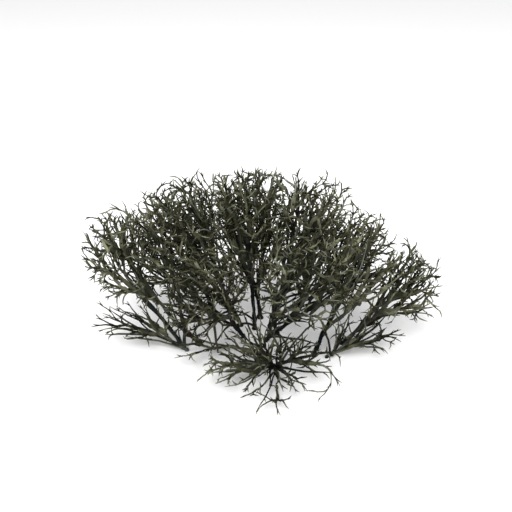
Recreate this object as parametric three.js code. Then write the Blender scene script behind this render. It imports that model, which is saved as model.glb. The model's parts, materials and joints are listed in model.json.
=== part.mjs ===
// Reindeer lichen clump: seventeen podetia, the upright, forking stalks of the lichen, that stand together
// on the ground and interlock in one cushion. Units are millimetres, +Z is up, and the origin is on the
// ground, under the middle of the clump's bounding box.
//
// Each podetium is one closed surface. It rises from a flat foot, and it forks in two again and again on
// its way to the points of its own crown that it has to reach, which are the sharp tips of its branches.

import * as THREE from "three";

// ---- Driving dimensions ----
const SEED = 20;
const DARTS = 120000; // points tried when the tips are placed
const TIP_SPACING = 3.35; // between neighbouring tips on the face of the crown
const INNER_SPACING = 6.5; // between neighbouring tips deeper inside it
const FACE_DEPTH = 0.8; // a crown's face starts at this share of its radii
const HOLLOW_DEPTH = 0.4; // no tip lies deeper than this share, where only bare stalks run
const STRAY = 0.15; // a tip may stand this share out of the crown's face, or stay inside it
const STRAY_SIZE = 7; // across one patch of such tips
const UNDERSIDE = -0.62; // a crown is bare under this share of its half height, from its centre
const LOWEST_TIP = 1.6; // above the ground

const TIP_RADIUS = 0.36; // of a branch that carries one tip
const RADIUS_POWER = 0.165; // a branch thickens with the number of tips it carries, to this power
const FOOT_FLARE = 1.6; // a foot's radius, over its stalk's
const WEB_WIDTH = 1.6; // a fork's half width, over the radius of the branch below it
const WEB_THICKNESS = 0.85; // a fork's half thickness, over the same radius
const WEB_RISE = 0.6; // how far the web fills the fork, over the same radius
const FORK_ANGLE = [0.68, 1.08]; // radians between the last two branches, least and most
const ANGLE_POWER = 0.17; // a fork narrows with the number of tips above it, to this power
const SHORTEST_SHARE = 0.28; // a branch runs at least this share of the way to its tips
const EARLY_SHARE = 0.15; // the same for a branch with many tips, which forks early
const EARLY_TIPS = 30; // above this number they are many
const UNEVEN = 0.44; // how unevenly a fork may share out its tips
const WANDER = 0.12; // how far a fork may lie beside the way to its tips, over the branch's length
const BEND = 0.34; // how long a new branch keeps to the way its parent went
const STRAIGHT_LENGTH = 9; // a longer branch has a bend in it
const REACH = 1.15; // of the surface round a branch, over its radius
const OWN_REACH = 0.6; // the same, between two branches of one podetium
const CLEARANCE = 0.3; // between two podetia

// Each podetium: its foot on the ground, the centre and radii of the crown that its tips fill, and the
// seed of its growth, one that lets it run clear of the podetia above it in this list. A sparse one has
// its tips so many times further apart. One with "early" forks early down to that number of tips.
const PODETIA = {
  centre: { foot: [-1, 5], crown: [-3, 2, 43], radii: [20, 14, 18], seed: 181 },
  top_left: { foot: [-6, 7], crown: [-21, 3, 38], radii: [15, 16, 20], seed: 42 },
  top_right: { foot: [4, 4], crown: [14, -1, 41], radii: [16, 16, 18], seed: 63 },
  left_shoulder: { foot: [-20, -4], crown: [-37, -8, 34], radii: [16, 14, 17], seed: 184 },
  left_end: { foot: [-27, -3], crown: [-47, 4, 32], radii: [12, 14, 13], seed: 125 },
  right_shoulder: { foot: [19, -10], crown: [35, -1, 26], radii: [14, 13, 18], seed: 26 },
  right_end: { foot: [29, -4], crown: [49, 0, 19], radii: [12, 14, 14], seed: 107 },
  back_centre: { foot: [1, 12], crown: [-2, 22, 26], radii: [18, 18, 22], seed: 88 },
  back_left: { foot: [-13, 11], crown: [-28, 19, 23], radii: [19, 17, 20], seed: 49 },
  back_right: { foot: [11, 10], crown: [24, 19, 22], radii: [19, 17, 19], seed: 30 },
  front_left: { foot: [-5, 0], crown: [-17, -19, 29], radii: [14, 14, 17], seed: 71 },
  front_right: { foot: [3, -2], crown: [16, -17, 30], radii: [15, 13, 17], seed: 192 },
  low_left: { foot: [-24, -8], crown: [-43, -4, 9], radii: [14, 8, 8], sparse: 1.4, early: 6, seed: 93 },
  low_front_left: { foot: [-7, -6], crown: [-23, -11, 5], radii: [10, 7, 5], sparse: 1.3, seed: 74 },
  low_right: { foot: [23, -12], crown: [38, -9, 10], radii: [14, 8, 9], sparse: 1.2, early: 6, seed: 95 },
  front_spray: { foot: [7, -18], crown: [3, -27, 9], radii: [19, 15, 9], early: 8, seed: 96 },
  front_tail: { foot: [6, -28], crown: [5, -37, 5], radii: [6, 9, 4], seed: 17 },
};

// ---- Random numbers, the same ones each time ----
function randomNumbers(seed) {
  let state = seed;
  return () => {
    state = (state + 0x6d2b79f5) | 0;
    let t = Math.imul(state ^ (state >>> 15), 1 | state);
    t = (t + Math.imul(t ^ (t >>> 7), 61 | t)) ^ t;
    return ((t ^ (t >>> 14)) >>> 0) / 4294967296;
  };
}

const UPWARD = new THREE.Vector3(0, 0, 1);
const between = (random, [low, high]) => low + (high - low) * random();

// ---- Where the tips are ----
// How deep a point is in a crown, 0 at its centre and 1 on its face, and how high.
function placeIn({ crown, radii }, [x, y, z]) {
  const [a, b, c] = [(x - crown[0]) / radii[0], (y - crown[1]) / radii[1], (z - crown[2]) / radii[2]];
  return { depth: Math.sqrt(a * a + b * b + c * c), height: c };
}

// Whether the crown stands out or stays in at a point: one number from -1 to 1 for each patch.
function strayAt(point) {
  const [i, j, k] = point.map((v) => Math.floor(v / STRAY_SIZE) + 40);
  return 2 * randomNumbers(SEED + i + 97 * j + 9409 * k)() - 1;
}

// Throws darts into the clump's box. One stays where it lies in the outer part of a crown, and clear of
// those that stayed before it. The crown that it lies deepest in gets it.
function placeTips() {
  const random = randomNumbers(SEED);
  const names = Object.keys(PODETIA);
  const low = [0, 1, 2].map((k) => Math.min(...names.map((n) => PODETIA[n].crown[k] - PODETIA[n].radii[k])));
  const high = [0, 1, 2].map((k) => Math.max(...names.map((n) => PODETIA[n].crown[k] + PODETIA[n].radii[k])));
  const kept = [];
  for (let i = 0; i < DARTS; i++) {
    const point = [0, 1, 2].map((k) => between(random, [low[k], high[k]]));
    if (point[2] < LOWEST_TIP) continue;
    const places = names.map((n) => placeIn(PODETIA[n], point));
    const depth = Math.min(...places.map((place) => place.depth));
    const owner = places.findIndex((place) => place.depth === depth);
    if (depth > 1 + STRAY * strayAt(point) || depth < HOLLOW_DEPTH) continue;
    if (places[owner].height <= UNDERSIDE) continue;
    const spacing = (depth > FACE_DEPTH ? TIP_SPACING : INNER_SPACING) * (PODETIA[names[owner]].sparse ?? 1);
    const free = kept.every(({ at }) => {
      const [a, b, c] = [at.x - point[0], at.y - point[1], at.z - point[2]];
      return a * a + b * b + c * c > spacing * spacing;
    });
    if (free) kept.push({ at: new THREE.Vector3(...point), podetium: names[owner] });
  }
  return kept;
}

// ---- How a podetium forks on its way to its tips ----
const directionTo = (from, to) => to.clone().sub(from).normalize();
const radiusFor = (tips) => TIP_RADIUS * Math.pow(tips, RADIUS_POWER);

function middleOf(points) {
  const sum = new THREE.Vector3();
  points.forEach((p) => sum.add(p));
  return sum.multiplyScalar(1 / points.length);
}

// Two unit vectors across a direction.
function acrossAxes(direction) {
  const side = Math.abs(direction.z) < 0.8 ? new THREE.Vector3(0, 0, 1) : new THREE.Vector3(1, 0, 0);
  const first = side.cross(direction).normalize();
  return [first, direction.clone().cross(first)];
}

// Shares tips out between two branches, by a cut across the way in which they spread furthest, as seen
// from a point.
function shareOut(tips, from, direction, random) {
  const [first, second] = acrossAxes(direction);
  const seen = tips.map((tip) => {
    const way = directionTo(from, tip);
    return { tip, a: way.dot(first), b: way.dot(second) };
  });
  const [meanA, meanB] = ["a", "b"].map((k) => seen.reduce((sum, s) => sum + s[k], 0) / seen.length);
  let [aa, ab, bb] = [0, 0, 0];
  for (const s of seen) {
    aa += (s.a - meanA) ** 2;
    ab += (s.a - meanA) * (s.b - meanB);
    bb += (s.b - meanB) ** 2;
  }
  const spread = (aa + bb + Math.sqrt((aa - bb) ** 2 + 4 * ab * ab)) / 2;
  const [u, v] = Math.abs(ab) > 1e-9 ? [ab, spread - aa] : aa > bb ? [1, 0] : [0, 1];
  seen.sort((p, q) => p.a * u + p.b * v - (q.a * u + q.b * v));
  const share = 0.5 + (random() - 0.5) * UNEVEN;
  const cut = Math.min(Math.max(Math.round(seen.length * share), 1), seen.length - 1);
  return [seen.slice(0, cut).map((s) => s.tip), seen.slice(cut).map((s) => s.tip)];
}

// One branch, from a point to its next fork or to its tip, with the branches that follow it. "control"
// is the middle point of the curve that it runs along.
function growBranch(from, heading, tips, early, random) {
  const goal = middleOf(tips);
  const branch = { from, to: goal, tips, radius: radiusFor(tips.length), children: [] };
  let groups = [];
  if (tips.length > 1) {
    const way = directionTo(from, goal);
    const distance = from.distanceTo(goal);
    const nearest = Math.min(...tips.map((tip) => tip.clone().sub(from).dot(way)));
    const wanted = Math.cos(between(random, FORK_ANGLE) / Math.pow(tips.length, ANGLE_POWER));
    groups = shareOut(tips, from, way, random);
    const middles = groups.map(middleOf);
    let step = (tips.length > early ? EARLY_SHARE : SHORTEST_SHARE) * distance;
    const most = Math.max(Math.min(0.8 * distance, 0.8 * nearest), step);
    for (; step < most; step += 0.5) {
      const at = from.clone().addScaledVector(way, step);
      if (directionTo(at, middles[0]).dot(directionTo(at, middles[1])) < wanted) break;
    }
    const [first, second] = acrossAxes(way);
    branch.to = from.clone().addScaledVector(way, step);
    branch.to.addScaledVector(first, (2 * random() - 1) * WANDER * step);
    branch.to.addScaledVector(second, (2 * random() - 1) * WANDER * step);
  }
  branch.control = from.clone().addScaledVector(heading, BEND * from.distanceTo(branch.to));
  branch.control.lerp(from.clone().lerp(branch.to, 0.5), 0.35);
  branch.heading = directionTo(branch.control, branch.to);
  branch.children = groups.map((group) => growBranch(branch.to, branch.heading, group, early, random));
  return branch;
}

function pointOn({ from, control, to }, t) {
  const along = from.clone().multiplyScalar((1 - t) * (1 - t));
  along.addScaledVector(control, 2 * t * (1 - t));
  return along.addScaledVector(to, t * t);
}

const isBent = (branch) => branch.from.distanceTo(branch.to) > STRAIGHT_LENGTH;

function branchesOf(branch) {
  return [branch, ...branch.children.flatMap(branchesOf)];
}

// ---- No branch runs through another ----
// The shortest distance between two straight pieces, each from a point to a point.
function pieceDistance([p, q], [r, s]) {
  const [u, v, w] = [q.clone().sub(p), s.clone().sub(r), p.clone().sub(r)];
  const [a, b, c, d, e] = [u.dot(u), u.dot(v), v.dot(v), u.dot(w), v.dot(w)];
  const clamp = (value) => Math.min(Math.max(value, 0), 1);
  const flat = a * c - b * b;
  const first = flat > 1e-9 ? clamp((b * e - c * d) / flat) : 0;
  const second = clamp((b * first + e) / c);
  const again = clamp((b * second - d) / a);
  return w.addScaledVector(u, again).addScaledVector(v, -second).length();
}

// The straight pieces that stand for the surface round a podetium's branches.
function piecesOf(stalk) {
  return branchesOf(stalk).flatMap((branch) => {
    const ends = isBent(branch) ? [branch.from, pointOn(branch, 0.5), branch.to] : [branch.from, branch.to];
    return ends.slice(1).map((end, i) => {
      const [middle, half] = [ends[i].clone().lerp(end, 0.5), ends[i].distanceTo(end) / 2];
      return { line: [ends[i], end], middle, half, branch };
    });
  });
}

// Whether two pieces come closer than a share of their radii and a clearance.
function isCrossing(one, other, share, clearance) {
  const reach = share * (one.branch.radius + other.branch.radius) + clearance;
  if (one.middle.distanceTo(other.middle) > one.half + other.half + reach) return false;
  return pieceDistance(one.line, other.line) <= reach;
}

// Whether two branches of one podetium meet at a fork, or are the same one.
const areJoined = (a, b) => a.from === b.from || a.to === b.from || b.to === a.from;

// The tips of a podetium that have to go, so that every branch that is left runs clear of the podetia
// before it and of the podetium's other branches. Where two of these cross, the one with fewer tips goes.
function tipsInTheWay(pieces, before) {
  const gone = new Set();
  const isGoing = ({ tips }) => tips.some((tip) => gone.has(tip));
  pieces.forEach((one, index) => {
    if (isGoing(one.branch)) return;
    if (before.some((other) => isCrossing(one, other, REACH, CLEARANCE))) {
      one.branch.tips.forEach((tip) => gone.add(tip));
      return;
    }
    for (const other of pieces.slice(index + 1)) {
      if (areJoined(one.branch, other.branch) || !isCrossing(one, other, OWN_REACH, 0)) continue;
      if (isGoing(one.branch) || isGoing(other.branch)) continue;
      const least = one.branch.tips.length < other.branch.tips.length ? one.branch : other.branch;
      least.tips.forEach((tip) => gone.add(tip));
    }
  });
  return gone;
}

// Grows one podetium, again and again with fewer tips, until it runs clear of those before it.
function growPodetium(podetium, tips, before) {
  const { foot, early = EARLY_TIPS, seed } = podetium;
  const from = new THREE.Vector3(foot[0], foot[1], 0);
  const heading = directionTo(from, middleOf(tips)).add(UPWARD).normalize();
  const stalk = growBranch(from, heading, tips, early, randomNumbers(seed));
  const gone = tipsInTheWay(piecesOf(stalk), before);
  return gone.size ? growPodetium(podetium, tips.filter((tip) => !gone.has(tip)), before) : stalk;
}

function growClump() {
  const tips = placeTips();
  const stalks = [];
  for (const [name, podetium] of Object.entries(PODETIA)) {
    const own = tips.filter((tip) => tip.podetium === name).map((tip) => tip.at);
    stalks.push(growPodetium(podetium, own, stalks.flatMap(piecesOf)));
  }
  return stalks;
}

// ---- The podetia lean on each other ----
// Each podetium but the first has one tip that all but touches a branch of a podetium before it. It is
// the tip that comes closest to one, drawn out to it.
function leanOnNeighbours(stalks) {
  stalks.forEach((stalk, index) => {
    const before = stalks.slice(0, index).flatMap(piecesOf);
    let closest = { gap: Infinity };
    for (const branch of branchesOf(stalk).filter(({ children }) => !children.length)) {
      for (const { line, branch: other } of before) {
        const seat = new THREE.Line3(...line).closestPointToPoint(branch.to, true, new THREE.Vector3());
        const reach = REACH * other.radius;
        const gap = seat.distanceTo(branch.to) - reach;
        if (gap < closest.gap) closest = { gap, branch, seat, reach };
      }
    }
    if (!closest.branch) return;
    const { branch, seat, reach } = closest;
    branch.to = seat.clone().addScaledVector(directionTo(seat, branch.to), reach + CLEARANCE);
  });
}

// ---- The surface round the branches ----
// Joins a three-cornered ring to a ring of three or four corners with the shortest triangles. Both run
// anticlockwise, as seen from ahead.
function joinRings(ring, next, triangles) {
  let best = { length: Infinity };
  for (let start = 0; start < 3; start++) {
    for (let turn = 0; turn < next.length; turn++) {
      const found = [];
      let length = 0;
      for (let i = 0; i < next.length; i++) {
        const corner = ring[(start + Math.min(i, 3)) % 3];
        const [from, to] = [next[(turn + i) % next.length], next[(turn + i + 1) % next.length]];
        found.push([corner, to, from]);
        length += corner.distanceTo(to) + corner.distanceTo(from);
        if (i < 3) found.push([corner, ring[(start + i + 1) % 3], to]);
      }
      if (length < best.length) best = { length, found };
    }
  }
  triangles.push(...best.found);
}

// A three-cornered ring, with one corner as near as it can be to the first corner of the ring before it.
function ringOn(centre, direction, radius, before) {
  const first = before[0].clone().sub(middleOf(before));
  first.addScaledVector(direction, -first.dot(direction)).normalize();
  const second = direction.clone().cross(first);
  return [0, 1, 2].map((i) => {
    const angle = (2 * Math.PI * i) / 3;
    const corner = centre.clone().addScaledVector(first, radius * Math.cos(angle));
    return corner.addScaledVector(second, radius * Math.sin(angle));
  });
}

function skinBranch(branch, startRing, triangles) {
  let ring = startRing;
  if (isBent(branch)) {
    const [middle, ahead] = [pointOn(branch, 0.5), pointOn(branch, 0.6)];
    const next = ringOn(middle, directionTo(middle, ahead), 1.2 * branch.radius, ring);
    joinRings(ring, next, triangles);
    ring = next;
  }
  if (!branch.children.length) {
    ring.forEach((corner, i) => triangles.push([corner, ring[(i + 1) % 3], branch.to]));
    return;
  }
  const forward = branch.heading;
  const [one, other] = branch.children.map((child) => directionTo(child.from, pointOn(child, 0.6)));
  const across = other.clone().sub(one);
  across.addScaledVector(forward, -across.dot(forward)).normalize();
  const up = forward.clone().cross(across);
  const [left, right] = [-1, 1].map((side) =>
    branch.to.clone().addScaledVector(across, side * WEB_WIDTH * branch.radius));
  const web = branch.to.clone().addScaledVector(forward, WEB_RISE * branch.radius);
  const [under, over] = [-1, 1].map((side) =>
    web.clone().addScaledVector(up, side * WEB_THICKNESS * branch.radius));
  joinRings(ring, [left, under, right, over], triangles);
  skinBranch(branch.children[0], [left, under, over], triangles);
  skinBranch(branch.children[1], [right, over, under], triangles);
}

function podetiumGeometry(stalk) {
  const triangles = [];
  const foot = ringOn(stalk.from, UPWARD, FOOT_FLARE * stalk.radius, [stalk.to, stalk.from]);
  triangles.push([foot[0], foot[2], foot[1]]);
  skinBranch(stalk, foot, triangles);
  const geometry = new THREE.BufferGeometry().setFromPoints(triangles.flat());
  geometry.computeVertexNormals();
  return geometry;
}

// ---- The clump ----
const clump = new THREE.Group();
const names = Object.keys(PODETIA);
const stalks = growClump();
leanOnNeighbours(stalks);
stalks.forEach((stalk, index) => {
  const material = new THREE.MeshStandardMaterial({ color: "#6b6c58", roughness: 0.9, metalness: 0 });
  const mesh = new THREE.Mesh(podetiumGeometry(stalk), material);
  mesh.name = "podetium_" + names[index];
  clump.add(mesh);
});

// The origin is under the middle of the clump's bounding box.
const box = new THREE.Box3().setFromObject(clump);
clump.position.set(-(box.min.x + box.max.x) / 2, -(box.min.y + box.max.y) / 2, 0);

export default clump;
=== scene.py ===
# %% [markdown]
# # A clump of reindeer lichen
#
# Reindeer lichen, or reindeer moss, is a fungus that lives with algae. It has no leaves and no roots. Its
# body is a cushion of stalks, called podetia, that fork in two again and again until the last twigs end in
# small forks and stars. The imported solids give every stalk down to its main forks. This lesson grows the
# same stalks by the same rule, rounds them, adds the finer twigs and prongs between them, and gives them
# the colours of the dry thallus.

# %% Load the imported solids
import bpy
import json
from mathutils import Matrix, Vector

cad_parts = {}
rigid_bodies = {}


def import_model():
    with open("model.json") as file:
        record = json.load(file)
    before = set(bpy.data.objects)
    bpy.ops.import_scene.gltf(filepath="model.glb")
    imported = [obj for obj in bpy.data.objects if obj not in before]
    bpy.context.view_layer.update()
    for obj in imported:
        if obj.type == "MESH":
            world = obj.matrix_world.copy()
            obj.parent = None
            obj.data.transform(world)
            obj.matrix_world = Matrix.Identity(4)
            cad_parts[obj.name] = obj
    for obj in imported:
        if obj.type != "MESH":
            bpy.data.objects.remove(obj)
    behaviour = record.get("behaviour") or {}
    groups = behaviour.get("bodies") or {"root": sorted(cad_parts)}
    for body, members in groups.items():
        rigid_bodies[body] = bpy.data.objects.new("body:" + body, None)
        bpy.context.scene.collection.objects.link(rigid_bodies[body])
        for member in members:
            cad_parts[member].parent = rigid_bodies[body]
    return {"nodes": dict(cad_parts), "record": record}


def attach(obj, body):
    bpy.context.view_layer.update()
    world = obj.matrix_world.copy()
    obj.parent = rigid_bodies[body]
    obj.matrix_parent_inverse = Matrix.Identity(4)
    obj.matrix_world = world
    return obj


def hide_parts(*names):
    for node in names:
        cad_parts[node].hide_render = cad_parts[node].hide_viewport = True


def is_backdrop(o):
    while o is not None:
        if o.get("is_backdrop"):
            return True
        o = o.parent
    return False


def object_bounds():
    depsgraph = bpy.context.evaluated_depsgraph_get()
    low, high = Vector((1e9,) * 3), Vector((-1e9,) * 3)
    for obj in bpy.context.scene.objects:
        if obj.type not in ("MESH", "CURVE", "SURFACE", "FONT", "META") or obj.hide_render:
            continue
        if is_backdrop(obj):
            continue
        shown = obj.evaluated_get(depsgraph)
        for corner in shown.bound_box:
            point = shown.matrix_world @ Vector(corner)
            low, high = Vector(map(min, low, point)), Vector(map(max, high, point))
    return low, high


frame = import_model()
cad_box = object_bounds()
print("solids:", sorted(frame["nodes"]))

# %% Bring in the tools
import json
import math

import bpy
import numpy as np
from mathutils import Vector
from mathutils.kdtree import KDTree

MM = 0.001
UPWARD = np.array((0.0, 0.0, 1.0))
print("lengths are in millimetres, and one of them is", MM, "m")

# %% [markdown]
# ## The stalks of the clump
#
# A podetium starts at one foot on the ground and feeds one crown of twigs, so a foot, a crown and a seed
# are all that it takes to describe one. Up to ten seeds were tried for each stalk, and the one kept lets it
# reach the most tips without crossing an earlier stalk. The crowns are ellipsoids in millimetres, side by
# side, and together they make the uneven dome, its two lobes, the long low branches and the low spray in
# front. Modelling three thousand branches by hand would take days, and each would have to fit its
# neighbours. A rule with a few numbers does it in seconds.

# %% Foot, crown middle, crown radii and seed of each podetium
PODETIA = {
    "centre": ((-1, 5), (-3, 2, 43), (20, 14, 18), 181),
    "top_left": ((-6, 7), (-21, 3, 38), (15, 16, 20), 42),
    "top_right": ((4, 4), (14, -1, 41), (16, 16, 18), 63),
    "left_shoulder": ((-20, -4), (-37, -8, 34), (16, 14, 17), 184),
    "left_end": ((-27, -3), (-47, 4, 32), (12, 14, 13), 125),
    "right_shoulder": ((19, -10), (35, -1, 26), (14, 13, 18), 26),
    "right_end": ((29, -4), (49, 0, 19), (12, 14, 14), 107),
    "back_centre": ((1, 12), (-2, 22, 26), (18, 18, 22), 88),
    "back_left": ((-13, 11), (-28, 19, 23), (19, 17, 20), 49),
    "back_right": ((11, 10), (24, 19, 22), (19, 17, 19), 30),
    "front_left": ((-5, 0), (-17, -19, 29), (14, 14, 17), 71),
    "front_right": ((3, -2), (16, -17, 30), (15, 13, 17), 192),
    "low_left": ((-24, -8), (-43, -4, 9), (14, 8, 8), 93),
    "low_front_left": ((-7, -6), (-23, -11, 5), (10, 7, 5), 74),
    "low_right": ((23, -12), (38, -9, 10), (14, 8, 9), 95),
    "front_spray": ((7, -18), (3, -27, 9), (19, 15, 9), 96),
    "front_tail": ((6, -28), (5, -37, 5), (6, 9, 4), 17),
}
NAMES = list(PODETIA)
FEET, CROWNS, RADII = (np.array([entry[k] for entry in PODETIA.values()], float) for k in range(3))
SEEDS = [entry[3] for entry in PODETIA.values()]

# The low branches are more open than the dome, and those of the spray part close to their foot.
SPARSE = {"low_left": 1.4, "low_front_left": 1.3, "low_right": 1.2}
HUBS = {"front_spray": 8, "low_left": 6, "low_right": 6}
SPREAD = [SPARSE.get(name, 1) for name in NAMES]

# The solids' box is centred over the origin. The rest spot, which is the foot of the first podetium, says
# how far that moved everything.
rest_spot = frame["record"]["mounts"][0]["pos_m"]
CENTRING = np.array(rest_spot) / MM - (*FEET[0], 0.0)
print(len(NAMES), "podetia on", len(set(map(tuple, FEET))), "feet")

# %% [markdown]
# ## Numbers that come out the same every time
#
# Nature is irregular, but a script that is run again has to give the same clump. So every random choice
# comes from a small generator with a fixed seed. It is written out here, because it has to give the very
# numbers that the solids were grown with.

# %% The seeded generator
SEED = 20


def random_numbers(seed):
    state = seed & 0xFFFFFFFF

    def draw():
        nonlocal state
        state = (state + 0x6D2B79F5) & 0xFFFFFFFF
        mixed = ((state ^ (state >> 15)) * (1 | state)) & 0xFFFFFFFF
        mixed = ((mixed + (((mixed ^ (mixed >> 7)) * (61 | mixed)) & 0xFFFFFFFF)) & 0xFFFFFFFF) ^ mixed
        return (mixed ^ (mixed >> 14)) / 4294967296

    return draw


def between(draw, low, high):
    return low + (high - low) * draw()


def unit(vector):
    return vector / math.sqrt(vector @ vector)


print("first number:", round(random_numbers(SEED)(), 6))

# %% [markdown]
# ## Where the twigs end
#
# Seen from outside, a lichen cushion is its twig ends, so they are placed first and the branches are grown
# to meet them. Darts are thrown at the crowns, and one is kept only where it is clear of all those before
# it, which spreads the ends evenly but not in rows. The face of the clump is full, its middle is more open,
# and a coarse noise lets some tufts stand out and others fall back.

# %% Measure how deep a point lies in its crown
STRAY = 0.15
STRAY_SIZE = 7
UNDERSIDE = -0.62


def stray_at(point):
    i, j, k = (math.floor(value / STRAY_SIZE) + 40 for value in point)
    return 2 * random_numbers(SEED + i + 97 * j + 9409 * k)() - 1


def crown_at(point):
    away = (np.array(point) - CROWNS) / RADII
    depths = np.sqrt(away[:, 0] ** 2 + away[:, 1] ** 2 + away[:, 2] ** 2)
    nearest = int(depths.argmin())
    return nearest, depths[nearest] if away[nearest, 2] > UNDERSIDE else 0.0


print("the middle of a crown has depth", crown_at(CROWNS[0])[1], "and its face has depth 1")

# %% Throw the darts
DARTS = 120000
TIP_SPACING = 3.35
INNER_SPACING = 6.5
FACE_DEPTH = 0.8
HOLLOW_DEPTH = 0.4
LOWEST_TIP = 1.6


def throw_darts(darts, seed, spacing_for, spread, lowest, taken=()):
    draw = random_numbers(seed)
    low = [float(value) for value in (CROWNS - RADII).min(0)]
    high = [float(value) for value in (CROWNS + RADII).max(0)]
    kept = np.zeros((len(taken) + 20000, 3))
    count = len(taken)
    if count:
        kept[:count] = taken
    owners = []
    for _ in range(darts):
        point = [between(draw, low[k], high[k]) for k in range(3)]
        if point[2] < lowest:
            continue
        owner, depth = crown_at(point)
        spacing = spacing_for(point, depth) * spread[owner]
        if not spacing:
            continue
        away = kept[:count] - point
        if count and ((away * away).sum(1) <= spacing * spacing).any():
            continue
        kept[count] = point
        count += 1
        owners.append(owner)
    return kept[len(taken): count].copy(), np.array(owners)


def tip_spacing(point, depth):
    if depth < HOLLOW_DEPTH or depth > 1 + STRAY * stray_at(point):
        return 0
    return TIP_SPACING if depth > FACE_DEPTH else INNER_SPACING


tips, owners = throw_darts(DARTS, SEED, tip_spacing, SPREAD, LOWEST_TIP)
print(len(tips), "branch tips, at least", TIP_SPACING, "mm apart")

# %% [markdown]
# ## How a podetium forks
#
# A branch heads for the middle of the tips it feeds. Part of the way there it forks, and the tips are
# shared out across the line along which they lie widest apart, a little unevenly, as real forks are. Each
# half is a branch again, until only one tip is left. The more tips a branch feeds, the thicker it is, and
# the sooner and narrower it forks. It leaves its parent in the parent's own direction and bends to its own,
# which is what makes it look grown.

# %% Share the tips of a fork
UNEVEN = 0.44


def across_axes(way):
    side = np.array((0.0, 0.0, 1.0)) if abs(way[2]) < 0.8 else np.array((1.0, 0.0, 0.0))
    first = unit(np.cross(side, way))
    return first, np.cross(way, first)


def share_out(tips, start, way, draw):
    first, second = across_axes(way)
    ways = tips - start
    ways /= np.sqrt((ways * ways).sum(1))[:, None]
    a, b = ways @ first, ways @ second
    da, db = a - a.mean(), b - b.mean()
    aa, ab, bb = (da * da).sum(), (da * db).sum(), (db * db).sum()
    spread = (aa + bb + math.sqrt((aa - bb) ** 2 + 4 * ab * ab)) / 2
    u, v = (ab, spread - aa) if abs(ab) > 1e-9 else ((1, 0) if aa > bb else (0, 1))
    order = np.argsort(a * u + b * v, kind="stable")
    share = 0.5 + (draw() - 0.5) * UNEVEN
    cut = min(max(math.floor(len(tips) * share + 0.5), 1), len(tips) - 1)
    return tips[order[:cut]], tips[order[cut:]]


print("a fork takes", round(0.5 - UNEVEN / 2, 2), "to", round(0.5 + UNEVEN / 2, 2), "of its tips to one side")

# %% A branch and all that grows from it
TIP_RADIUS = 0.36
RADIUS_POWER = 0.165
FORK_ANGLE = (0.68, 1.08)
ANGLE_POWER = 0.17
SHORTEST_SHARE = 0.28
EARLY_SHARE = 0.15
EARLY_TIPS = 30
WANDER = 0.12
BEND = 0.34
STRAIGHTEN = 0.35
LATEST_FORK = 0.8
FORK_STEP = 0.5


class Branch:
    def __init__(self, start, heading, tips, draw, early_tips=EARLY_TIPS):
        self.start, self.to, self.tips = start, tips.mean(0), tips
        self.radius = TIP_RADIUS * len(tips) ** RADIUS_POWER
        groups = self.fork(draw, early_tips) if len(tips) > 1 else []
        self.bend(heading)
        self.children = [Branch(self.to, self.heading, group, draw, early_tips) for group in groups]

    def fork(self, draw, early_tips):
        start, tips = self.start, self.tips
        way = unit(self.to - start)
        distance = math.dist(start, self.to)
        nearest = ((tips - start) @ way).min()
        wanted = math.cos(between(draw, *FORK_ANGLE) / len(tips) ** ANGLE_POWER)
        groups = share_out(tips, start, way, draw)
        middles = [group.mean(0) for group in groups]
        step = (EARLY_SHARE if len(tips) > early_tips else SHORTEST_SHARE) * distance
        most = max(min(LATEST_FORK * distance, LATEST_FORK * nearest), step)
        while step < most:
            at = start + way * step
            if unit(middles[0] - at) @ unit(middles[1] - at) < wanted:
                break
            step += FORK_STEP
        first, second = across_axes(way)
        self.to = start + way * step
        self.to = self.to + first * ((2 * draw() - 1) * WANDER * step)
        self.to = self.to + second * ((2 * draw() - 1) * WANDER * step)
        return groups

    def bend(self, heading):
        control = self.start + heading * (BEND * math.dist(self.start, self.to))
        self.control = control + STRAIGHTEN * ((self.start + self.to) / 2 - control)
        self.heading = unit(self.to - self.control)

    def at(self, t):
        return self.start * (1 - t) ** 2 + self.control * (2 * t * (1 - t)) + self.to * (t * t)

    def way_at(self, t):
        return unit((self.control - self.start) * (1 - t) + (self.to - self.control) * t)

    def all(self):
        return [self] + [branch for child in self.children for branch in child.all()]


print("a branch with one tip is", 2 * TIP_RADIUS, "mm thick")

# %% [markdown]
# ## Keeping the branches clear of each other
#
# Real branches grow past each other and never through each other. Here each branch is measured, as one or
# two straight pieces, against all those that grew before it. One that would cross lets go of the tips
# behind the crossing, and the podetium grows again without them, until nothing crosses. Comparing every
# pair of pieces one by one would be slow, so numpy measures one piece against all the others at once. Only
# these main branches are kept apart. The finer stems, twigs and prongs that follow may cross each other.

# %% The distance from one piece to many
STRAIGHT_LENGTH = 9
REACH = 1.15
OWN_REACH = 0.6
CLEARANCE = 0.3


def pieces_of(stalk):
    found = []
    for branch in stalk.all():
        bent = math.dist(branch.start, branch.to) > STRAIGHT_LENGTH
        ends = [branch.start, branch.at(0.5), branch.to] if bent else [branch.start, branch.to]
        found += [(p, q, branch) for p, q in zip(ends, ends[1:])]
    return found


def piece_distances(p, q, r, s):
    u, v, w = q - p, s - r, p - r
    a, b, c = (u * u).sum(-1), (u * v).sum(-1), (v * v).sum(-1)
    d, e = (u * w).sum(-1), (v * w).sum(-1)
    flat = a * c - b * b
    skew = flat > 1e-9
    first = np.where(skew, np.clip((b * e - c * d) / np.where(skew, flat, 1), 0, 1), 0)
    second = np.clip((b * first + e) / c, 0, 1)
    again = np.clip((b * second - d) / a, 0, 1)
    gap = w + u * again[:, None] - v * second[:, None]
    return np.sqrt((gap * gap).sum(1))


ends = np.array([(0.0, 0.0, 0.0), (1.0, 0.0, 0.0), (0.5, 1.0, 2.0), (0.5, -1.0, 2.0)])
print("two crossed pieces 2 mm apart measure", piece_distances(ends[0], ends[1], ends[2:3], ends[3:])[0])

# %% Find what crosses


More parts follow.
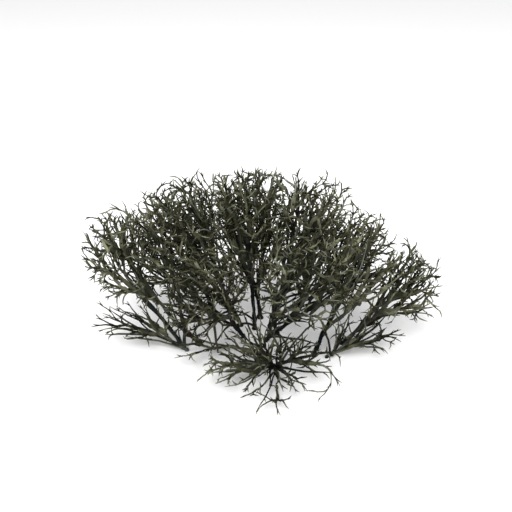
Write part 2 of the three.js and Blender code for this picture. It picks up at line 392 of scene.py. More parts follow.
class Pieces:
    def __init__(self, pieces):
        self.branches = [branch for _, _, branch in pieces]
        self.p, self.q = (np.array([piece[k] for piece in pieces]) for k in (0, 1))
        self.start = np.array([branch.start for branch in self.branches])
        self.to = np.array([branch.to for branch in self.branches])
        self.radius = np.array([branch.radius for branch in self.branches])
        self.middle, self.half = (self.p + self.q) / 2, np.sqrt(((self.p - self.q) ** 2).sum(1)) / 2

    def crossing(self, one, other, candidates, share, clearance):
        reach = share * (self.radius[one] + other.radius[candidates]) + clearance
        away = other.middle[candidates] - self.middle[one]
        near = np.sqrt((away * away).sum(1)) <= self.half[one] + other.half[candidates] + reach
        candidates, reach = candidates[near], reach[near]
        if not len(candidates):
            return candidates
        gaps = piece_distances(self.p[one], self.q[one], other.p[candidates], other.q[candidates])
        return candidates[gaps <= reach]

    def strangers_after(self, one):
        later = np.arange(one + 1, len(self.branches))
        kin = (self.start[later] == self.start[one]).all(1)
        kin |= (self.to[one] == self.start[later]).all(1) | (self.to[later] == self.start[one]).all(1)
        return later[~kin]


def tips_in_the_way(own, before):
    gone = set()

    def is_going(branch):
        return any(tuple(tip) in gone for tip in branch.tips)

    for one, branch in enumerate(own.branches):
        if is_going(branch):
            continue
        if before and len(own.crossing(one, before, np.arange(len(before.branches)), REACH, CLEARANCE)):
            gone |= {tuple(tip) for tip in branch.tips}
            continue
        for index in own.crossing(one, own, own.strangers_after(one), OWN_REACH, 0):
            other = own.branches[index]
            if is_going(branch) or is_going(other):
                continue
            lesser = branch if len(branch.tips) < len(other.tips) else other
            gone |= {tuple(tip) for tip in lesser.tips}
    return gone


print("branches of two podetia stay", CLEARANCE, "mm apart, each taken as", REACH, "times its radius")

# %% Grow the seventeen podetia, one after the other


def grow_podetium(index, own, before):
    start = np.array((*FEET[index], 0.0))
    early_tips = HUBS.get(NAMES[index], EARLY_TIPS)
    while True:
        heading = unit(unit(own.mean(0) - start) + UPWARD)
        stalk = Branch(start, heading, own, random_numbers(SEEDS[index]), early_tips)
        gone = tips_in_the_way(Pieces(pieces_of(stalk)), Pieces(before) if before else None)
        if not gone:
            return stalk
        own = np.array([tip for tip in own if tuple(tip) not in gone])


stalks, before = [], []
for index in range(len(NAMES)):
    stalks.append(grow_podetium(index, tips[owners == index], before))
    before += pieces_of(stalks[-1])
print(sum(len(stalk.tips) for stalk in stalks), "tips are fed without a crossing")

# %% [markdown]
# ## How the podetia hold each other up
#
# A cushion of lichen is not rooted. Its stalks keep each other upright by leaning and hooking together. So
# each stalk bends the twig that already comes closest to an earlier stalk until the two nearly touch.

# %% Lean one twig of each podetium on a neighbour


def lean_on_neighbours(stalk, before):
    p, q = (np.array([piece[k] for piece in before]) for k in (0, 1))
    reach = REACH * np.array([piece[2].radius for piece in before])
    run = q - p
    closest = None
    for branch in stalk.all():
        if branch.children:
            continue
        along = np.clip(((branch.to - p) * run).sum(1) / (run * run).sum(1), 0, 1)
        seats = p + run * along[:, None]
        gaps = np.sqrt(((branch.to - seats) ** 2).sum(1)) - reach
        least = int(gaps.argmin())
        if closest is None or gaps[least] < closest[0]:
            closest = (gaps[least], branch, seats[least], reach[least])
    gap, branch, seat, room = closest
    branch.to = seat + unit(branch.to - seat) * (room + CLEARANCE)
    return gap


gaps = [lean_on_neighbours(stalks[k], [piece for stalk in stalks[:k] for piece in pieces_of(stalk)])
        for k in range(1, len(stalks))]
branches = [branch for stalk in stalks for branch in stalk.all()]
print(len(branches), "branches; the widest gap closed by leaning was", round(max(gaps), 2), "mm")

# %% [markdown]
# ## Twigs between the main branches
#
# The main branches alone would look like a bare hedge. On the real lichen, thin twigs leave them all along,
# turn outwards with the growth and fill what is left between the tips. They could be scattered as instances
# of one twig, but copies show, and they would stick out where there is no room. So a second, denser throw
# of darts finds the free places, and each place is joined to the best spot on what has already grown: near,
# and not off to the side. The rim is more open than the face, so that its twigs stand out one by one. Under
# the high crowns, where little light comes, they grow further and further apart. The low crowns lie on the
# ground and have no such underside.

# %% Find the free places
TWIG_DARTS = 220000
TWIG_SPACING = 2.25
INNER_TWIG_SPACING = 2.9
TWIG_HOLLOW = 0.12
TWIG_STRAY = 0.32
LOWEST_TWIG = 0.9
OPEN_HEIGHT = 20
FULL_HEIGHT = 38
LOW_OPENNESS = 0.5
FULL_OPENNESS = 0.9
MORE_OPEN = {
    "low_front_left": 1.4, "front_tail": 1.6, "front_spray": 1.2, "left_end": 1.25,
    "left_shoulder": 1.08, "top_right": 1.18, "right_shoulder": 1.18}
RIM_OPENNESS = 0.35
UNDERSIDE_START = -0.1
UNDERSIDE_OPENNESS = 2.4
LOW_NAMES = {"low_left", "low_front_left", "low_right", "front_spray", "front_tail"}
TWIG_SPREAD = [spread * MORE_OPEN.get(name, 1) for name, spread in zip(NAMES, SPREAD)]


def twig_spacing(point, depth):
    if depth < TWIG_HOLLOW or depth > 1 + TWIG_STRAY * stray_at(point):
        return 0
    openness = 1 + LOW_OPENNESS * max(0, 1 - point[2] / OPEN_HEIGHT)
    if point[2] > FULL_HEIGHT:
        openness = FULL_OPENNESS
    if depth > 1:
        openness += RIM_OPENNESS
    crown = crown_at(point)[0]
    if NAMES[crown] not in LOW_NAMES:
        below = (CROWNS[crown, 2] - point[2]) / RADII[crown, 2]
        openness += UNDERSIDE_OPENNESS * max(0, below - UNDERSIDE_START)
    return openness * (TWIG_SPACING if depth > FACE_DEPTH else INNER_TWIG_SPACING)


branch_ends = np.array([branch.to for branch in branches if not branch.children])
goals, goal_owners = throw_darts(TWIG_DARTS, SEED + 500, twig_spacing, TWIG_SPREAD, LOWEST_TWIG, branch_ends)
print(len(goals), "places for twigs")

# %% Mark the spots that a twig can leave from
SPOT_SPACING = 0.9


class Twig:
    def __init__(self, start, way, goal, radius, host, turn=0.5):
        self.start, self.to, self.radius, self.host = start, goal, radius, host
        self.length = math.dist(start, goal)
        straight = unit(goal - start)
        self.is_straight = straight @ way > 0.8
        self.control = start + unit(turn * way + (1 - turn) * straight) * (0.5 * self.length)

    at, way_at = Branch.at, Branch.way_at


class Spots:
    def __init__(self, room):
        self.places, self.ways = np.zeros((room, 3)), np.zeros((room, 3))
        self.radii, self.hosts, self.count = np.zeros(room), np.zeros(room, int), 0

    def mark(self, branch, t, radius, host):
        n = self.count
        self.places[n], self.ways[n] = branch.at(t), branch.way_at(t)
        self.radii[n], self.hosts[n] = radius, host
        self.count = n + 1


spots = Spots(60000)
for host, stalk in enumerate(stalks):
    for branch in stalk.all():
        steps = max(2, int(math.dist(branch.start, branch.to) / SPOT_SPACING))
        last = 0.92 if branch.children else 0.78
        for k in range(steps):
            t = (k + 0.7) / steps * last
            if branch is not stalk or t > 0.55:
                spots.mark(branch, t, branch.radius * (0.9 if branch.children else 0.7 - 0.35 * t), host)
print(spots.count, "spots on the branches")

# %% [markdown]
# The foot of the clump is a lattice: long, thin, nearly straight stems rise from low on the stalks through
# the open middle, and daylight shows between them. They grow before the short twigs, so that twigs can
# leave them too.

# %% Grow the long thin stems
LONG_STEMS = 18
FEWER_STEMS = {
    "low_left": 9, "low_right": 9, "low_front_left": 8, "front_tail": 5, "left_end": 9, "right_end": 12}
LONG_STEM_SPACING = 3.2
LONG_STEM_REACH = (9, 23)
LONG_STEM_COSINES = (0.6, 0.94)
LONG_STEM_RADIUS = 0.38
LONG_STEM_TURN = 0.3
HIGHEST_STEM = 32


def mark_stem(stem):
    for k in range(4, 12):
        spots.mark(stem, k / 12, stem.radius * (1 - 0.3 * k / 12), stem.host)


draw = random_numbers(SEED + 900)
long_stems = []
for host, stalk in enumerate(stalks):
    limbs = [branch for branch in stalk.all() if len(branch.tips) > 5] or [stalk]
    own_goals = goals[(goal_owners == host) & (goals[:, 2] < HIGHEST_STEM)]
    wanted = FEWER_STEMS.get(NAMES[host], LONG_STEMS) if len(own_goals) else 0
    for _ in range(40 * wanted):
        if sum(stem.host == host for stem in long_stems) == wanted:
            break
        limb = limbs[int(draw() * len(limbs) * 0.6)]
        t = between(draw, 0.15, 0.9)
        start, way = limb.at(t), limb.way_at(t)
        goal = own_goals[int(draw() * len(own_goals))]
        if any(math.dist(goal, stem.to) < LONG_STEM_SPACING for stem in long_stems):
            continue
        reach, cosine = math.dist(start, goal), unit(goal - start) @ way
        if not LONG_STEM_REACH[0] < reach < LONG_STEM_REACH[1]:
            continue
        if LONG_STEM_COSINES[0] < cosine < LONG_STEM_COSINES[1]:
            radius = LONG_STEM_RADIUS * between(draw, 0.8, 1.2)
            long_stems.append(Twig(start, way, goal, radius, host, LONG_STEM_TURN))
            mark_stem(long_stems[-1])
print(len(long_stems), "long stems")

# %% [markdown]
# Some stems run across the foot, from low on one stalk to a place that may lie under another. They could be
# found like the long stems, but those stay in their own crown. So the places are drawn in one low box, and
# a stem grows to a place only from a limb that it leaves at less than a right angle and doesn't run along.

# %% Grow the stems that cross the open foot
CROSSING_STEMS = 26
CROSSING_SPACING = 3.6
CROSSING_REACH = (10, 24)
CROSSING_COSINES = (0.3, 0.95)
LOW_LIMB_TIPS, LOW_LIMB_HEIGHT = 12, 14
LOWEST_CROSSING, HIGHEST_CROSSING = (-24, -30, 3.5), (27, 4, 17)
draw_crossing = random_numbers(SEED + 950)
low_limbs = [(host, branch) for host, stalk in enumerate(stalks) for branch in stalk.all()
             if len(branch.tips) > LOW_LIMB_TIPS and branch.start[2] < LOW_LIMB_HEIGHT]
crossing_stems = []
for _ in range(200 * CROSSING_STEMS):
    if len(crossing_stems) == CROSSING_STEMS:
        break
    host, limb = low_limbs[int(draw_crossing() * len(low_limbs))]
    t = between(draw_crossing, 0.1, 0.9)
    start, way = limb.at(t), limb.way_at(t)
    goal = np.array([between(draw_crossing, *sides) for sides in zip(LOWEST_CROSSING, HIGHEST_CROSSING)])
    reach, cosine = math.dist(start, goal), unit(goal - start) @ way
    if not CROSSING_REACH[0] < reach < CROSSING_REACH[1]:
        continue
    if not CROSSING_COSINES[0] < cosine < CROSSING_COSINES[1]:
        continue
    if any(math.dist(goal, stem.to) < CROSSING_SPACING for stem in long_stems + crossing_stems):
        continue
    radius = LONG_STEM_RADIUS * between(draw_crossing, 0.9, 1.5)
    crossing_stems.append(Twig(start, way, goal, radius, host, LONG_STEM_TURN))
    mark_stem(crossing_stems[-1])
long_stems += crossing_stems
print(len(crossing_stems), "stems cross the open foot")

# %% Grow the twigs, the nearest places first
LONGEST_TWIG = 9.0
SHORTEST_TWIG = 1.3
THINNEST_TWIG = 0.22
TWIG_RADIUS = 0.31
TWIG_RADIUS_GAIN = 0.028
TWIG_COSINES = (0.35, 0.97)
SIDEWAYS_COST = 1.2
LOW_REACH_COST = 0.4
LOW_SIDEWAYS_COST = 9
WRONG_WAY_COST = 50
HIGHEST_COST = 45

marked = KDTree(spots.count)
for k in range(spots.count):
    marked.insert(spots.places[k], k)
marked.balance()
twigs = []
for goal in sorted(goals, key=lambda place: marked.find(place)[2]):
    away = goal - spots.places[:spots.count]
    distance = np.sqrt((away * away).sum(1))
    near = np.where(distance < LONGEST_TWIG)[0]
    if not len(near):
        continue
    reach = distance[near]
    cosine = (away[near] * spots.ways[near]).sum(1) / np.maximum(reach, 1e-6)
    # low down the straighter spot wins, higher up the nearer one
    low = max(0, 1 - goal[2] / OPEN_HEIGHT)
    high_cost = reach * (1 + SIDEWAYS_COST * (1 - cosine))
    low_cost = LOW_REACH_COST * reach + LOW_SIDEWAYS_COST * (1 - cosine)
    cost = high_cost * (1 - low) + low_cost * low
    cost += np.where((cosine < TWIG_COSINES[0]) | (cosine > TWIG_COSINES[1]), WRONG_WAY_COST, 0)
    best = int(cost.argmin())
    if cost[best] > HIGHEST_COST or reach[best] < SHORTEST_TWIG:
        continue
    spot = near[best]
    radius = TWIG_RADIUS + TWIG_RADIUS_GAIN * reach[best]
    radius = max(min(0.85 * spots.radii[spot], radius) * between(draw, 0.78, 1.2), THINNEST_TWIG)
    twig = Twig(spots.places[spot].copy(), spots.ways[spot].copy(), goal, radius, spots.hosts[spot])
    twigs.append(twig)
    for t in (0.35, 0.55, 0.75) if twig.length > 2.2 else (0.5,):
        spots.mark(twig, t, radius * (1 - 0.35 * t), twig.host)
print(len(twigs), "twigs, on average", round(sum(twig.length for twig in twigs) / len(twigs), 1), "mm long")

# %% [markdown]
# ## The forks and stars at the ends
#
# No twig of this lichen ends in a plain point. Most ends carry one or two short prongs, which make a fork,
# and some carry four around a centre, which make a star. Each prong leaves a little before the end and
# curves away from it.

# %% Set prongs on every end
STAR_SHARE = 0.07
PRONG_LENGTH = (1.4, 3.0)
PRONG_LEAN = (0.35, 0.8)
STAR_LEAN = (0.9, 1.4)
STAR_PRONGS = 4
# one prong, and by chance up to two more above the open foot, or up to one more near the ground
MORE_PRONGS_HIGH, MORE_PRONGS_LOW = 2.4, 1.4
LOWEST_PRONG = 0.5


def prong_on(twig, t, angle, lean, length):
    start, way = twig.at(t), twig.way_at(t)
    first, second = across_axes(way)
    side = first * math.cos(angle) + second * math.sin(angle)
    prong = Twig(start, way, start + (way * math.cos(lean) + side * math.sin(lean)) * length, 0, twig.host)
    prong.radius = max(0.95 * THINNEST_TWIG, 0.95 * twig.radius * (1 - 0.4 * t))
    return prong


for host, stalk in enumerate(stalks):
    for branch in stalk.all():
        branch.host, branch.length = host, math.dist(branch.start, branch.to)
prongs = []
for twig in [branch for branch in branches if not branch.children] + long_stems + twigs:
    is_star = draw() < STAR_SHARE
    turn = between(draw, 0, 2 * math.pi)
    more = MORE_PRONGS_HIGH if twig.to[2] > OPEN_HEIGHT else MORE_PRONGS_LOW
    for k in range(STAR_PRONGS if is_star else 1 + int(draw() * more)):
        t = between(draw, 0.8, 0.86) if is_star else between(draw, 0.6, 0.9) - 0.12 * k
        angle = turn + k * math.pi * (0.5 if is_star else between(draw, 0.8, 1.2))
        lean = between(draw, *(STAR_LEAN if is_star else PRONG_LEAN))
        prong = prong_on(twig, t * (0.8 if twig.length < 2 else 1), angle, lean, between(draw, *PRONG_LENGTH))
        if prong.to[2] > LOWEST_PRONG:
            prongs.append(prong)
print(len(prongs), "prongs")

# %% [markdown]
# ## From lines to strands
#
# Up to here the clump is only lines. A podetium is not a round wire, though. It is a flattened tube that
# widens into a web where it forks, some stretches are broad like a strap, and the last twigs can be thin
# blades. So each line becomes a strand of points, and each point carries its own half width, its flatness
# and the direction in which it is thin. Points also carry what the colours need later: age, tone and the
# depth inside the cushion, which sets the painted shade.

# %% One strand for each line
OLDEST = max(stalk.radius for stalk in stalks)
strands = [[] for _ in NAMES]
growth = np.random.default_rng(SEED)


def add_strand(host, points, width, flat, thin, age, tone):
    count = len(points)
    flat, age = np.broadcast_to(flat, count), np.broadcast_to(age, count)
    thin = np.broadcast_to(thin, (count, 3))
    strands[host].append((points, np.maximum(width, 0.05), flat, thin, age, np.full(count, tone)))


def line_points(line, count, waver):
    t = np.linspace(0, 1, count)
    points = np.array([line.at(step) for step in t])
    points[1:-1] += waver * growth.standard_normal((count - 2, 3))
    return points, t


def facing_out(line, host):
    middle = line.at(0.5)
    way = unit(line.to - line.start)
    outward = (middle - CROWNS[host]) / RADII[host] ** 2 + np.array((0, -0.02, 0.02))
    return unit(outward - way * (outward @ way))


print("the oldest stalks are", round(2 * OLDEST, 2), "mm thick")

# %% The podetia, with a web at each fork and a strap here and there
STRAP_SHARE = 0.3
STRAP_WIDTH = 2.2
PALM_SHARE = 0.35
PALM_WIDTH = 2.3
BROAD_TIPS = 18
FOOT_FLARE = 1.35
FOOT_STEP = 0.6


def fork_axes(branch):
    ways = [child.way_at(0.5) for child in branch.children]
    apart = ways[1] - ways[0]
    across = unit(apart - branch.heading * (apart @ branch.heading))
    return across, np.cross(branch.heading, across)


def strand_end_branch(branch, start, start_width, start_thin):
    points, t = line_points(branch, 3 + min(5, int(branch.length / 1.6)), 0.09)
    points[0] = start
    width = np.interp(t, (0, 0.25, 0.75, 1), (start_width, 0.78 * branch.radius, 0.6 * branch.radius, 0.08))
    add_strand(branch.host, points, width, 0.75, start_thin, branch.radius / OLDEST, growth.random())


def strand_branch(branch, start, start_width, start_thin):
    if not branch.children:
        strand_end_branch(branch, start, start_width, start_thin)
        return
    points, t = line_points(branch, 3 + min(5, int(branch.length / 1.6)), 0.1 * min(1, branch.length / 4))
    points[0] = start
    slim = 0.74 + 0.26 * min(1, math.log(len(branch.tips)) / math.log(25))
    kind = growth.random()
    is_broad = len(branch.tips) < BROAD_TIPS and branch.length > 2.6 and kind < STRAP_SHARE + PALM_SHARE
    middle = STRAP_WIDTH if is_broad and kind < STRAP_SHARE else 1
    end = PALM_WIDTH if is_broad and kind >= STRAP_SHARE else middle
    width = slim * branch.radius * np.interp(t, (0, 0.3, 0.75, 1), (0.8, middle, end, 1.5))
    width = np.maximum(width, np.interp(t, (0, 0.25), (start_width, 0)))
    width *= 1 + 0.08 * growth.standard_normal(len(t))
    flat = np.interp(t, (0, 0.3, 0.75, 1), (0.75, 0.85 / middle, 0.85 / end, 0.6))
    across, end_thin = fork_axes(branch)
    tone = growth.random()
    if is_broad:
        start_thin = end_thin = facing_out(branch, branch.host)
        tone = 0.66 + 0.2 * tone
    turned = end_thin if end_thin @ start_thin > 0 else -end_thin
    thin = start_thin * (1 - t)[:, None] + turned * t[:, None]
    if branch is stalks[branch.host]:
        # a vertical first step keeps the rim of the foot level on the ground
        points = np.vstack((points[:1], points[:1] + UPWARD * FOOT_STEP, points[1:]))
        width, flat, thin, t = (np.concatenate((part[:1], part)) for part in (width, flat, thin, t))
    add_strand(branch.host, points, width, flat, thin, (1 - 0.15 * t) * branch.radius / OLDEST, tone)
    for side, child in zip((-1, 1), branch.children):
        begin = branch.to + (across * side - branch.heading) * (0.5 * branch.radius)
        child_width = max(0.8 * child.radius, 0.75 * slim * branch.radius)
        strand_branch(child, begin, child_width, end_thin)


for stalk in stalks:
    strand_branch(stalk, stalk.start, FOOT_FLARE * stalk.radius, across_axes(stalk.heading)[0])
print(sum(map(len, strands)), "strands for the podetia")

# %% The long stems, twigs, blades and prongs
BLADE_SHARE = 0.25


def strand_twig(twig, widths, flat, thin, age, tone, waver=0.07):
    points, t = line_points(twig, 3 + min(5, int(twig.length / 1.5)), waver)
    add_strand(twig.host, points, np.interp(t, (0, 0.2, 0.75, 1), widths), flat, thin, age, tone)


for stem in long_stems:
    radius = stem.radius
    thin = across_axes(unit(stem.to - stem.start))[0]
    tone = growth.random()
    strand_twig(stem, (1.3 * radius, radius, 0.85 * radius, 0.08), 0.8, thin, 0.66, tone, 0.1)
for twig in twigs:
    radius = twig.radius
    if growth.random() < BLADE_SHARE and twig.length > 2.4 and twig.is_straight:
        widths = (radius, 1.9 * radius + 0.05, 2.0 * radius + 0.05, 0.3 * radius)
        strand_twig(twig, widths, 0.34, facing_out(twig, twig.host), 0.4, 0.66 + 0.2 * growth.random())
    else:
        widths = (1.3 * radius, radius, 0.85 * radius, 0.08)
        thin = across_axes(unit(twig.to - twig.start))[0]
        strand_twig(twig, widths, 0.75, thin, radius / OLDEST, growth.random())
for prong in prongs:
    points, t = line_points(prong, 3, 0)
    width = prong.radius * np.array((1.0, 0.85, 0.25))
    thin = across_axes(unit(prong.to - prong.start))[0]
    add_strand(prong.host, points, width, 0.8, thin, 0.2, growth.random())
print(sum(map(len, strands)), "strands in all")

# %% [markdown]
# ## Skinning the strands
#
# Every strand follows a path, so one small Geometry Nodes tree can skin them all. It turns the edges into
# curves, sweeps a ring along them as wide as each point says, and then presses each ring flat along its
# thin direction. Six sides are enough at half a millimetre, because smooth shading hides the corners, and
# they keep a clump of this many strands light. A curve bevel could sweep too, but it can't make the section
# flat.

# %% One helper that adds a node


def add_node(tree, kind, inputs=(), **settings):
    node = tree.nodes.new(kind)
    for name, value in settings.items():
        setattr(node, name, value)
    for key, value in dict(inputs).items():
        if isinstance(value, bpy.types.NodeSocket):
            tree.links.new(value, node.inputs[key])
        else:
            node.inputs[key].default_value = value
    return node


print("add_node takes the tree, the kind of node, its inputs and its settings")

# %% The tree that skins strands


def skin_tree(thallus):
    tree = bpy.data.node_groups.new("Skin the strands", "GeometryNodeTree")
    tree.interface.new_socket("Strands", in_out="INPUT", socket_type="NodeSocketGeometry")
    sides = tree.interface.new_socket("Sides", in_out="INPUT", socket_type="NodeSocketInt")
    fullness = tree.interface.new_socket("Fullness", in_out="INPUT", socket_type="NodeSocketFloat")
    tree.interface.new_socket("Skin", in_out="OUTPUT", socket_type="NodeSocketGeometry")
    given = add_node(tree, "NodeGroupInput").outputs

    curves = add_node(tree, "GeometryNodeMeshToCurve", {"Mesh": given["Strands"]})
    position = add_node(tree, "GeometryNodeInputPosition").outputs[0]
    tangent = add_node(tree, "GeometryNodeInputTangent").outputs[0]
    keep = add_node(tree, "GeometryNodeCaptureAttribute", {"Geometry": curves.outputs[0]})
    for name, value in (("Axis point", position), ("Axis way", tangent)):
        keep.capture_items.new("VECTOR", name)
        tree.links.new(value, keep.inputs[name])

    named = "GeometryNodeInputNamedAttribute"
    half_width = add_node(tree, named, {"Name": "half_width"}, data_type="FLOAT").outputs["Attribute"]
    flatness = add_node(tree, named, {"Name": "flatness"}, data_type="FLOAT").outputs["Attribute"]
    thin = add_node(tree, named, {"Name": "thin"}, data_type="FLOAT_VECTOR").outputs["Attribute"]
    ring = add_node(tree, "GeometryNodeCurvePrimitiveCircle", {"Resolution": given["Sides"], "Radius": 1.0})
    size = add_node(tree, "ShaderNodeMath", {0: half_width, 1: given["Fullness"]}, operation="MULTIPLY")
    sweep = add_node(tree, "GeometryNodeCurveToMesh", {
        "Curve": keep.outputs["Geometry"], "Profile Curve": ring.outputs["Curve"],
        "Scale": size.outputs[0], "Fill Caps": True})

    # the part of each ring point's offset that lies along the thin direction is scaled by the flatness
    vector = "ShaderNodeVectorMath"
    axis_way, axis_point = keep.outputs["Axis way"], keep.outputs["Axis point"]
    across = add_node(tree, vector, {0: axis_way, 1: thin}, operation="CROSS_PRODUCT")
    square = add_node(tree, vector, {0: across.outputs[0], 1: axis_way}, operation="CROSS_PRODUCT")
    pressed = add_node(tree, vector, {0: square.outputs[0]}, operation="NORMALIZE").outputs[0]
    offset = add_node(tree, vector, {0: position, 1: axis_point}, operation="SUBTRACT")
    along = add_node(tree, vector, {0: offset.outputs[0], 1: pressed}, operation="DOT_PRODUCT")
    less = add_node(tree, "ShaderNodeMath", {0: flatness, 1: 1.0}, operation="SUBTRACT")
    amount = add_node(tree, "ShaderNodeMath", {
        0: along.outputs["Value"], 1: less.outputs[0]}, operation="MULTIPLY")
    move = add_node(tree, vector, {0: pressed, "Scale": amount.outputs[0]}, operation="SCALE")
    press = add_node(tree, "GeometryNodeSetPosition", {
        "Geometry": sweep.outputs[0], "Offset": move.outputs[0]})

    smooth = add_node(tree, "GeometryNodeSetShadeSmooth", {"Geometry": press.outputs[0]})
    real = add_node(tree, "GeometryNodeRealizeInstances", {"Geometry": smooth.outputs[0]})
    paint = add_node(tree, "GeometryNodeSetMaterial", {"Geometry": real.outputs[0], "Material": thallus})
    add_node(tree, "NodeGroupOutput", {"Skin": paint.outputs[0]})
    return tree, sides.identifier, fullness.identifier


print("the tree has two sizes: the sides of a strand and how full it is")

# %% [markdown]
# ## The thallus
#
# The body of a lichen, its thallus, is a felt of fungus threads with algae between them. Dry, it is dull
# and takes up light, so it is rough and has almost no gloss. The young parts are grey-green to olive, from
# the algae. Low down, where no light comes, the algae die and the stalks turn charcoal, some with a blue
# and some with a brown cast. These colours are worked out from the points' own age and tone. Their depth in
# the cushion and under the dome darkens them further, as painted shade. Noise in object space adds the
# patches in which the algae grow and the grain of the felt, which also roughens the surface with a fine bump.

# %% Colours of the thallus
YOUNG = ((0.0, "#1f2016"), (0.3, "#383925"), (0.6, "#545540"), (0.85, "#6e6f5a"), (1.0, "#636860"))
OLD = ((0.0, "#1c2226"), (0.4, "#2a3136"), (0.7, "#363d41"), (0.88, "#424035"), (1.0, "#493829"))
PATCH = 2.4 * MM
TUFT = 16 * MM
# The threads of the felt are 0.005 to 0.01 mm thick. They are drawn as a grain of 0.26 mm, so that it
# shows.
GRAIN = 0.26 * MM


def linear(code):
    channels = [int(code[i:i + 2], 16) / 255 for i in (1, 3, 5)]
    return tuple(c / 12.92 if c <= 0.04045 else ((c + 0.055) / 1.055) ** 2.4 for c in channels) + (1.0,)


def colour_ramp(tree, factor, stops):
    node = add_node(tree, "ShaderNodeValToRGB", {"Fac": factor})
    while len(node.color_ramp.elements) < len(stops):
        node.color_ramp.elements.new(0.5)
    for element, (place, code) in zip(node.color_ramp.elements, stops):
        element.position, element.color = place, linear(code)
    return node.outputs["Color"]


print("youngest olive:", [round(value, 3) for value in linear(YOUNG[2][1])[:3]], "in linear light")

# %% The material of the dry thallus


def dry_thallus():
    material = bpy.data.materials.new("Dry lichen thallus")
    material.use_nodes = True
    tree = material.node_tree
    shader = tree.nodes["Principled BSDF"]
    place = add_node(tree, "ShaderNodeTexCoord").outputs["Object"]
    age, tone, depth = (add_node(tree, "ShaderNodeAttribute", attribute_name=name).outputs["Fac"]
                        for name in ("age", "tone", "depth"))
    patch, tuft, grain = (
        add_node(tree, "ShaderNodeTexNoise", {
            "Vector": place, "Scale": 1 / size, "Detail": detail}).outputs["Fac"]
        for size, detail in ((PATCH, 4.0), (TUFT, 2.0), (GRAIN, 3.0)))

    old_share = add_node(tree, "ShaderNodeMapRange", {"Value": age, "From Min": 0.47, "From Max": 0.78})
    body = add_node(tree, "ShaderNodeMix", {
        0: old_share.outputs[0], 6: colour_ramp(tree, tone, YOUNG), 7: colour_ramp(tree, tone, OLD)},
        data_type="RGBA")
    # each row: a value, its low and high end, and the factor on the colour at each; the depth row is painted
    # shade
    shades = (
        (patch, 0.42, 0.7, 1.2, 0.5),
        (tuft, 0.35, 0.65, 1.15, 0.62),
        (grain, 0.35, 0.65, 0.85, 1.15),
        # painted shade: darker deep in the cushion and under the dome
        (depth, 0.4, 0.95, 0.26, 1.0),
    )
    light = 1.0
    for value, low, high, at_low, at_high in shades:
        shade = add_node(tree, "ShaderNodeMapRange", {
            "Value": value, "From Min": low, "From Max": high, "To Min": at_low, "To Max": at_high})
        darker = add_node(tree, "ShaderNodeMath", {0: light, 1: shade.outputs[0]}, operation="MULTIPLY")
        light = darker.outputs[0]
    colour = add_node(tree, "ShaderNodeMix", {0: 1.0, 6: body.outputs[2], 7: light},
                      data_type="RGBA", blend_type="MULTIPLY")
    tree.links.new(colour.outputs[2], shader.inputs["Base Color"])
    shader.inputs["Roughness"].default_value = 0.85
    shader.inputs["IOR"].default_value = 1.4
    shader.inputs["Specular IOR Level"].default_value = 0.1
    bump = add_node(tree, "ShaderNodeBump", {"Height": grain, "Strength": 0.6, "Distance": 0.08 * MM})
    tree.links.new(bump.outputs["Normal"], shader.inputs["Normal"])
    return material


thallus = dry_thallus()
print(thallus.name, "has", len(thallus.node_tree.nodes), "nodes")

# %% [markdown]
# ## One piece for each podetium
#
# Each podetium of the solids gets one finer piece in its place. The strands are first a mesh of points and
# edges, with an attribute for each number. The tree skins it, the result is made a plain mesh, and the
# modifier goes. The piece then rides on the clump's one body and stands for its solid.

# %% Lay the strands down as points and edges
SHADE_MIDDLE = np.array((0.0, 2.0))
SHADE_RADII = np.array((58.0, 36.0))
SHADE_HEIGHT, SHADE_FADE = 12, 20


# painted shade: how deep a point lies in the crowns, or low under the dome; the material darkens the colour
# the deeper it is
def shade_depths_of(points, name):
    away = (points[:, None, :] - CROWNS) / RADII
    depths = np.sqrt((away * away).sum(2)).min(1)
    if name in LOW_NAMES:
        return depths
    # painted shade: below the dome it is as dark as inside it, and darkest in the middle
    rim = np.sqrt((((points[:, :2] - SHADE_MIDDLE) / SHADE_RADII) ** 2).sum(1))
    return np.minimum(depths, rim + np.maximum(0, (points[:, 2] - SHADE_HEIGHT) / SHADE_FADE))


def strand_mesh(name, own):
    points, width, flat, thin, age, tone = (np.concatenate([strand[k] for strand in own]) for k in range(6))
    raised = np.maximum(points[:, 2], width)
    is_foot = points[:, 2] < 1e-6
    is_foot |= np.roll(is_foot, 1)
    points[:, 2] = np.where(is_foot, points[:, 2], raised)
    edges, first = [], 0
    for strand in own:
        edges += [(first + k, first + k + 1) for k in range(len(strand[0]) - 1)]
        first += len(strand[0])
    mesh = bpy.data.meshes.new("grown_" + name)
    mesh.from_pydata(((points + CENTRING) * MM).tolist(), edges, [])
    depth = shade_depths_of(points, name)
    numbers = {"half_width": width * MM, "flatness": flat, "age": age, "tone": tone, "depth": depth}
    for key, value in numbers.items():
        mesh.attributes.new(key, "FLOAT", "POINT").data.foreach_set("value", value.astype(np.float32))
    thin = thin.astype(np.float32).ravel()
    mesh.attributes.new("thin", "FLOAT_VECTOR", "POINT").data.foreach_set("vector", thin)
    return mesh


print("strand points:", sum(len(strand[0]) for own in strands for strand in own))

# %% Skin each podetium
SIDES = 6
FULLNESS = 1.0
tree, sides_input, fullness_input = skin_tree(thallus)


def skin_podetium(name, own):
    piece = bpy.data.objects.new("grown_" + name, strand_mesh(name, own))
    bpy.context.scene.collection.objects.link(piece)
    skin = piece.modifiers.new("Skin", "NODES")
    skin.node_group = tree
    skin[sides_input] = SIDES
    skin[fullness_input] = FULLNESS
    ready = piece.evaluated_get(bpy.context.evaluated_depsgraph_get())
    mesh = bpy.data.meshes.new_from_object(ready)
    piece.modifiers.clear()
    piece.data = mesh
    mesh.materials.clear()
    mesh.materials.append(thallus)
    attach(piece, "root")
    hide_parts("podetium_" + name)
    return sum(len(face.vertices) - 2 for face in mesh.polygons)


triangles = {name: skin_podetium(name, own) for name, own in zip(NAMES, strands)}
print("triangles:", triangles)
print("in all", sum(triangles.values()))

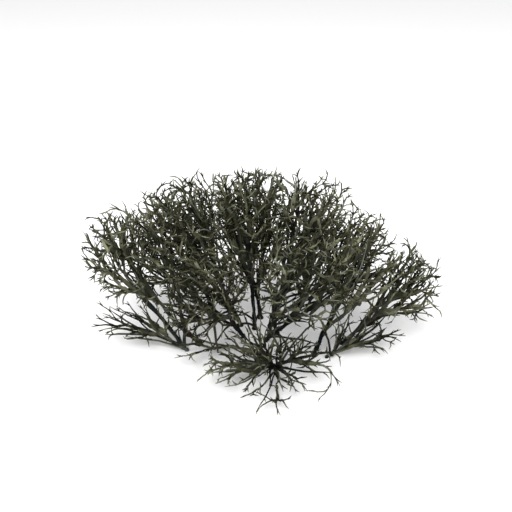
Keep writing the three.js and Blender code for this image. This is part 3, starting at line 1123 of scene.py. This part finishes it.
# %% [markdown]
# ## The table, the light and the camera
#
# A dark, twiggy thing shows best on plain pale paper, in soft light from all around, with one large lamp
# above and to the left so that the dome has a bright and a dark side. The paper isn't part of the clump.

# %% Lay the paper
bpy.ops.mesh.primitive_plane_add(size=6)
floor = bpy.context.object
floor.name = "floor"
paper = bpy.data.materials.new("Matt white paper")
paper.use_nodes = True
paper.node_tree.nodes["Principled BSDF"].inputs["Base Color"].default_value = linear("#f7f7f7")
paper.node_tree.nodes["Principled BSDF"].inputs["Roughness"].default_value = 0.9
floor.data.materials.append(paper)
floor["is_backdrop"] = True
print("the paper is", tuple(round(side, 1) for side in floor.dimensions[:2]), "m")

# %% Light it
target = Vector((-0.0015, 0.0002, 0.033))
scene = bpy.context.scene
world = bpy.data.worlds.new("Soft room")
scene.world = world
world.use_nodes = True
world.node_tree.nodes["Background"].inputs["Color"].default_value = (1, 1, 1, 1)
world.node_tree.nodes["Background"].inputs["Strength"].default_value = 0.86


def add_lamp(name, place, size, power):
    data = bpy.data.lights.new(name, "AREA")
    data.size, data.energy = size, power
    lamp = bpy.data.objects.new(name, data)
    lamp.location = place
    lamp.rotation_euler = (target - Vector(place)).to_track_quat("-Z", "Y").to_euler()
    scene.collection.objects.link(lamp)


add_lamp("Window lamp", (-0.16, -0.4, 0.62), 0.42, 5.4)
add_lamp("Fill lamp", (0.5, -0.3, 0.35), 0.5, 1.25)

# %% Set up the camera
ELEVATION = math.radians(28)
DISTANCE = 0.231
camera_data = bpy.data.cameras.new("Camera")
camera_data.lens = 50
camera_data.clip_start = 0.01
camera = bpy.data.objects.new("Camera", camera_data)
camera.location = target + Vector((0, -math.cos(ELEVATION), math.sin(ELEVATION))) * DISTANCE
camera.rotation_euler = (target - camera.location).to_track_quat("-Z", "Y").to_euler()
scene.collection.objects.link(camera)
scene.camera = camera
scene.view_settings.view_transform = "Standard"
scene.view_settings.look = "None"
print("the camera looks down", round(math.degrees(ELEVATION)), "degrees from", DISTANCE, "m")

# %% [markdown]
# ## Measuring the result
#
# The finer clump has to stay the size of the solids, so both boxes are written down side by side.

# %% Compare the boxes
boxes = {"cad": cad_box, "visual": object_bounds()}
boxes = {key: [[float(value) for value in corner] for corner in box] for key, box in boxes.items()}
for key, (low, high) in boxes.items():
    print(key, [round((b - a) / MM, 1) for a, b in zip(low, high)], "mm, lowest", round(low[2] / MM, 2))
